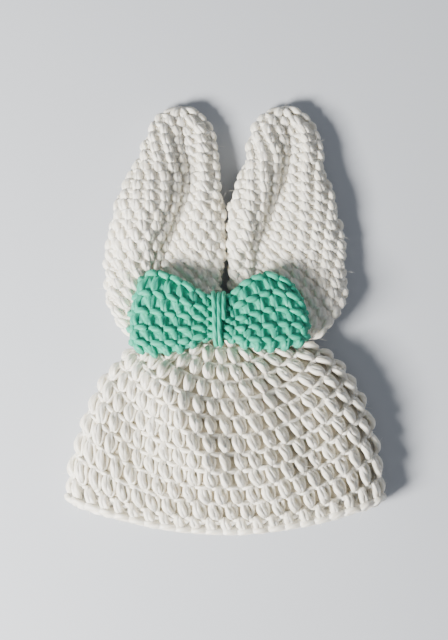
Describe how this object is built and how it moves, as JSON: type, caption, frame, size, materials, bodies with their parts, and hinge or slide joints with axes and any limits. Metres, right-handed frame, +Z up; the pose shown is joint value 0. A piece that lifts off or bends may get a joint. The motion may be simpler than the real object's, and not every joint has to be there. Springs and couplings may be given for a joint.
{
  "type": "baby hat with rabbit ears and a bow",
  "caption": "Rounded crocheted baby hat with an open head cavity, two long flat ears standing from the top and a pinched bow where they meet it, lying flat on its back.",
  "frame": {"origin": "on the table, under the middle of the box around the whole hat as it lies on its back", "axes": "+Y from the hem towards the tips of the ears, +Z up out of the table through the hat's front, +X to the right as the front is seen from above"},
  "size_m": [0.1642, 0.2182, 0.0377],
  "materials": {
    "white_yarn": "soft worsted yarn with a faint sparkle, crocheted",
    "mint_yarn": "soft worsted yarn, crocheted"
  },
  "bodies": {
    "root": {"crown": "white_yarn", "hem_edging": "white_yarn", "ear_left": "white_yarn", "ear_right": "white_yarn", "bow_loop": "mint_yarn", "bow_wrap": "mint_yarn"}
  },
  "joints": []
}
